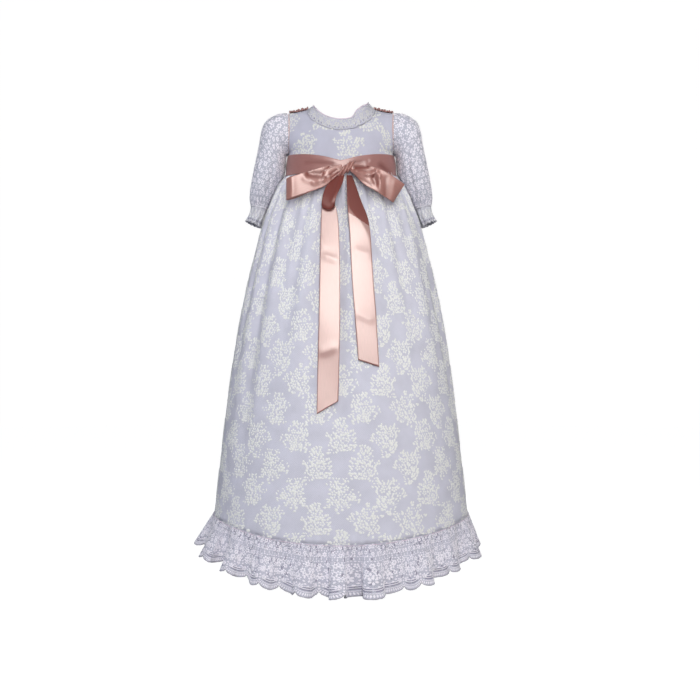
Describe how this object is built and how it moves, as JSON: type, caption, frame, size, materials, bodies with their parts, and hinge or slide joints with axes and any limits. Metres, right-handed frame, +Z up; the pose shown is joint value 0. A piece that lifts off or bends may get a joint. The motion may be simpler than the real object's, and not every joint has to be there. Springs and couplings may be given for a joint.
{
  "type": "baby's long lace gown",
  "caption": "Baby's full-length lace gown in its worn, hollow form, with gathered sleeves, a ribbon sash tied in a bow and a scalloped lace flounce.",
  "frame": {"origin": "middle of the neck opening, level with the shoulder seams' neck ends, where the worn gown is held up", "axes": "+Z up along the body, -Y out of the front of the gown, +X to the right as seen from the front"},
  "size_m": [0.5185, 0.401, 0.8639],
  "materials": {
    "lace_cloth": "floral lace over a pale lavender lining",
    "sleeve_lace": "sheer floral lace",
    "edging_lace": "open scalloped lace",
    "satin_ribbon": "glossy satin",
    "pearl_button": "pearly gloss"
  },
  "bodies": {
    "root": {"bodice_front": "lace_cloth", "bodice_back_left": "lace_cloth", "bodice_back_right": "lace_cloth", "skirt_front": "lace_cloth", "skirt_back": "lace_cloth", "hem_ruffle_front": "edging_lace", "hem_ruffle_back": "edging_lace", "sleeve_left": "sleeve_lace", "sleeve_right": "sleeve_lace", "cuff_left": "edging_lace", "cuff_right": "edging_lace", "collar": "edging_lace", "sash": "satin_ribbon", "bow_loop_left": "satin_ribbon", "bow_loop_right": "satin_ribbon", "bow_knot": "satin_ribbon", "bow_tail_left": "satin_ribbon", "bow_tail_right": "satin_ribbon", "shoulder_ribbon_left": "satin_ribbon", "shoulder_ribbon_right": "satin_ribbon", "button_1": "pearl_button", "button_2": "pearl_button", "button_3": "pearl_button"}
  },
  "joints": []
}
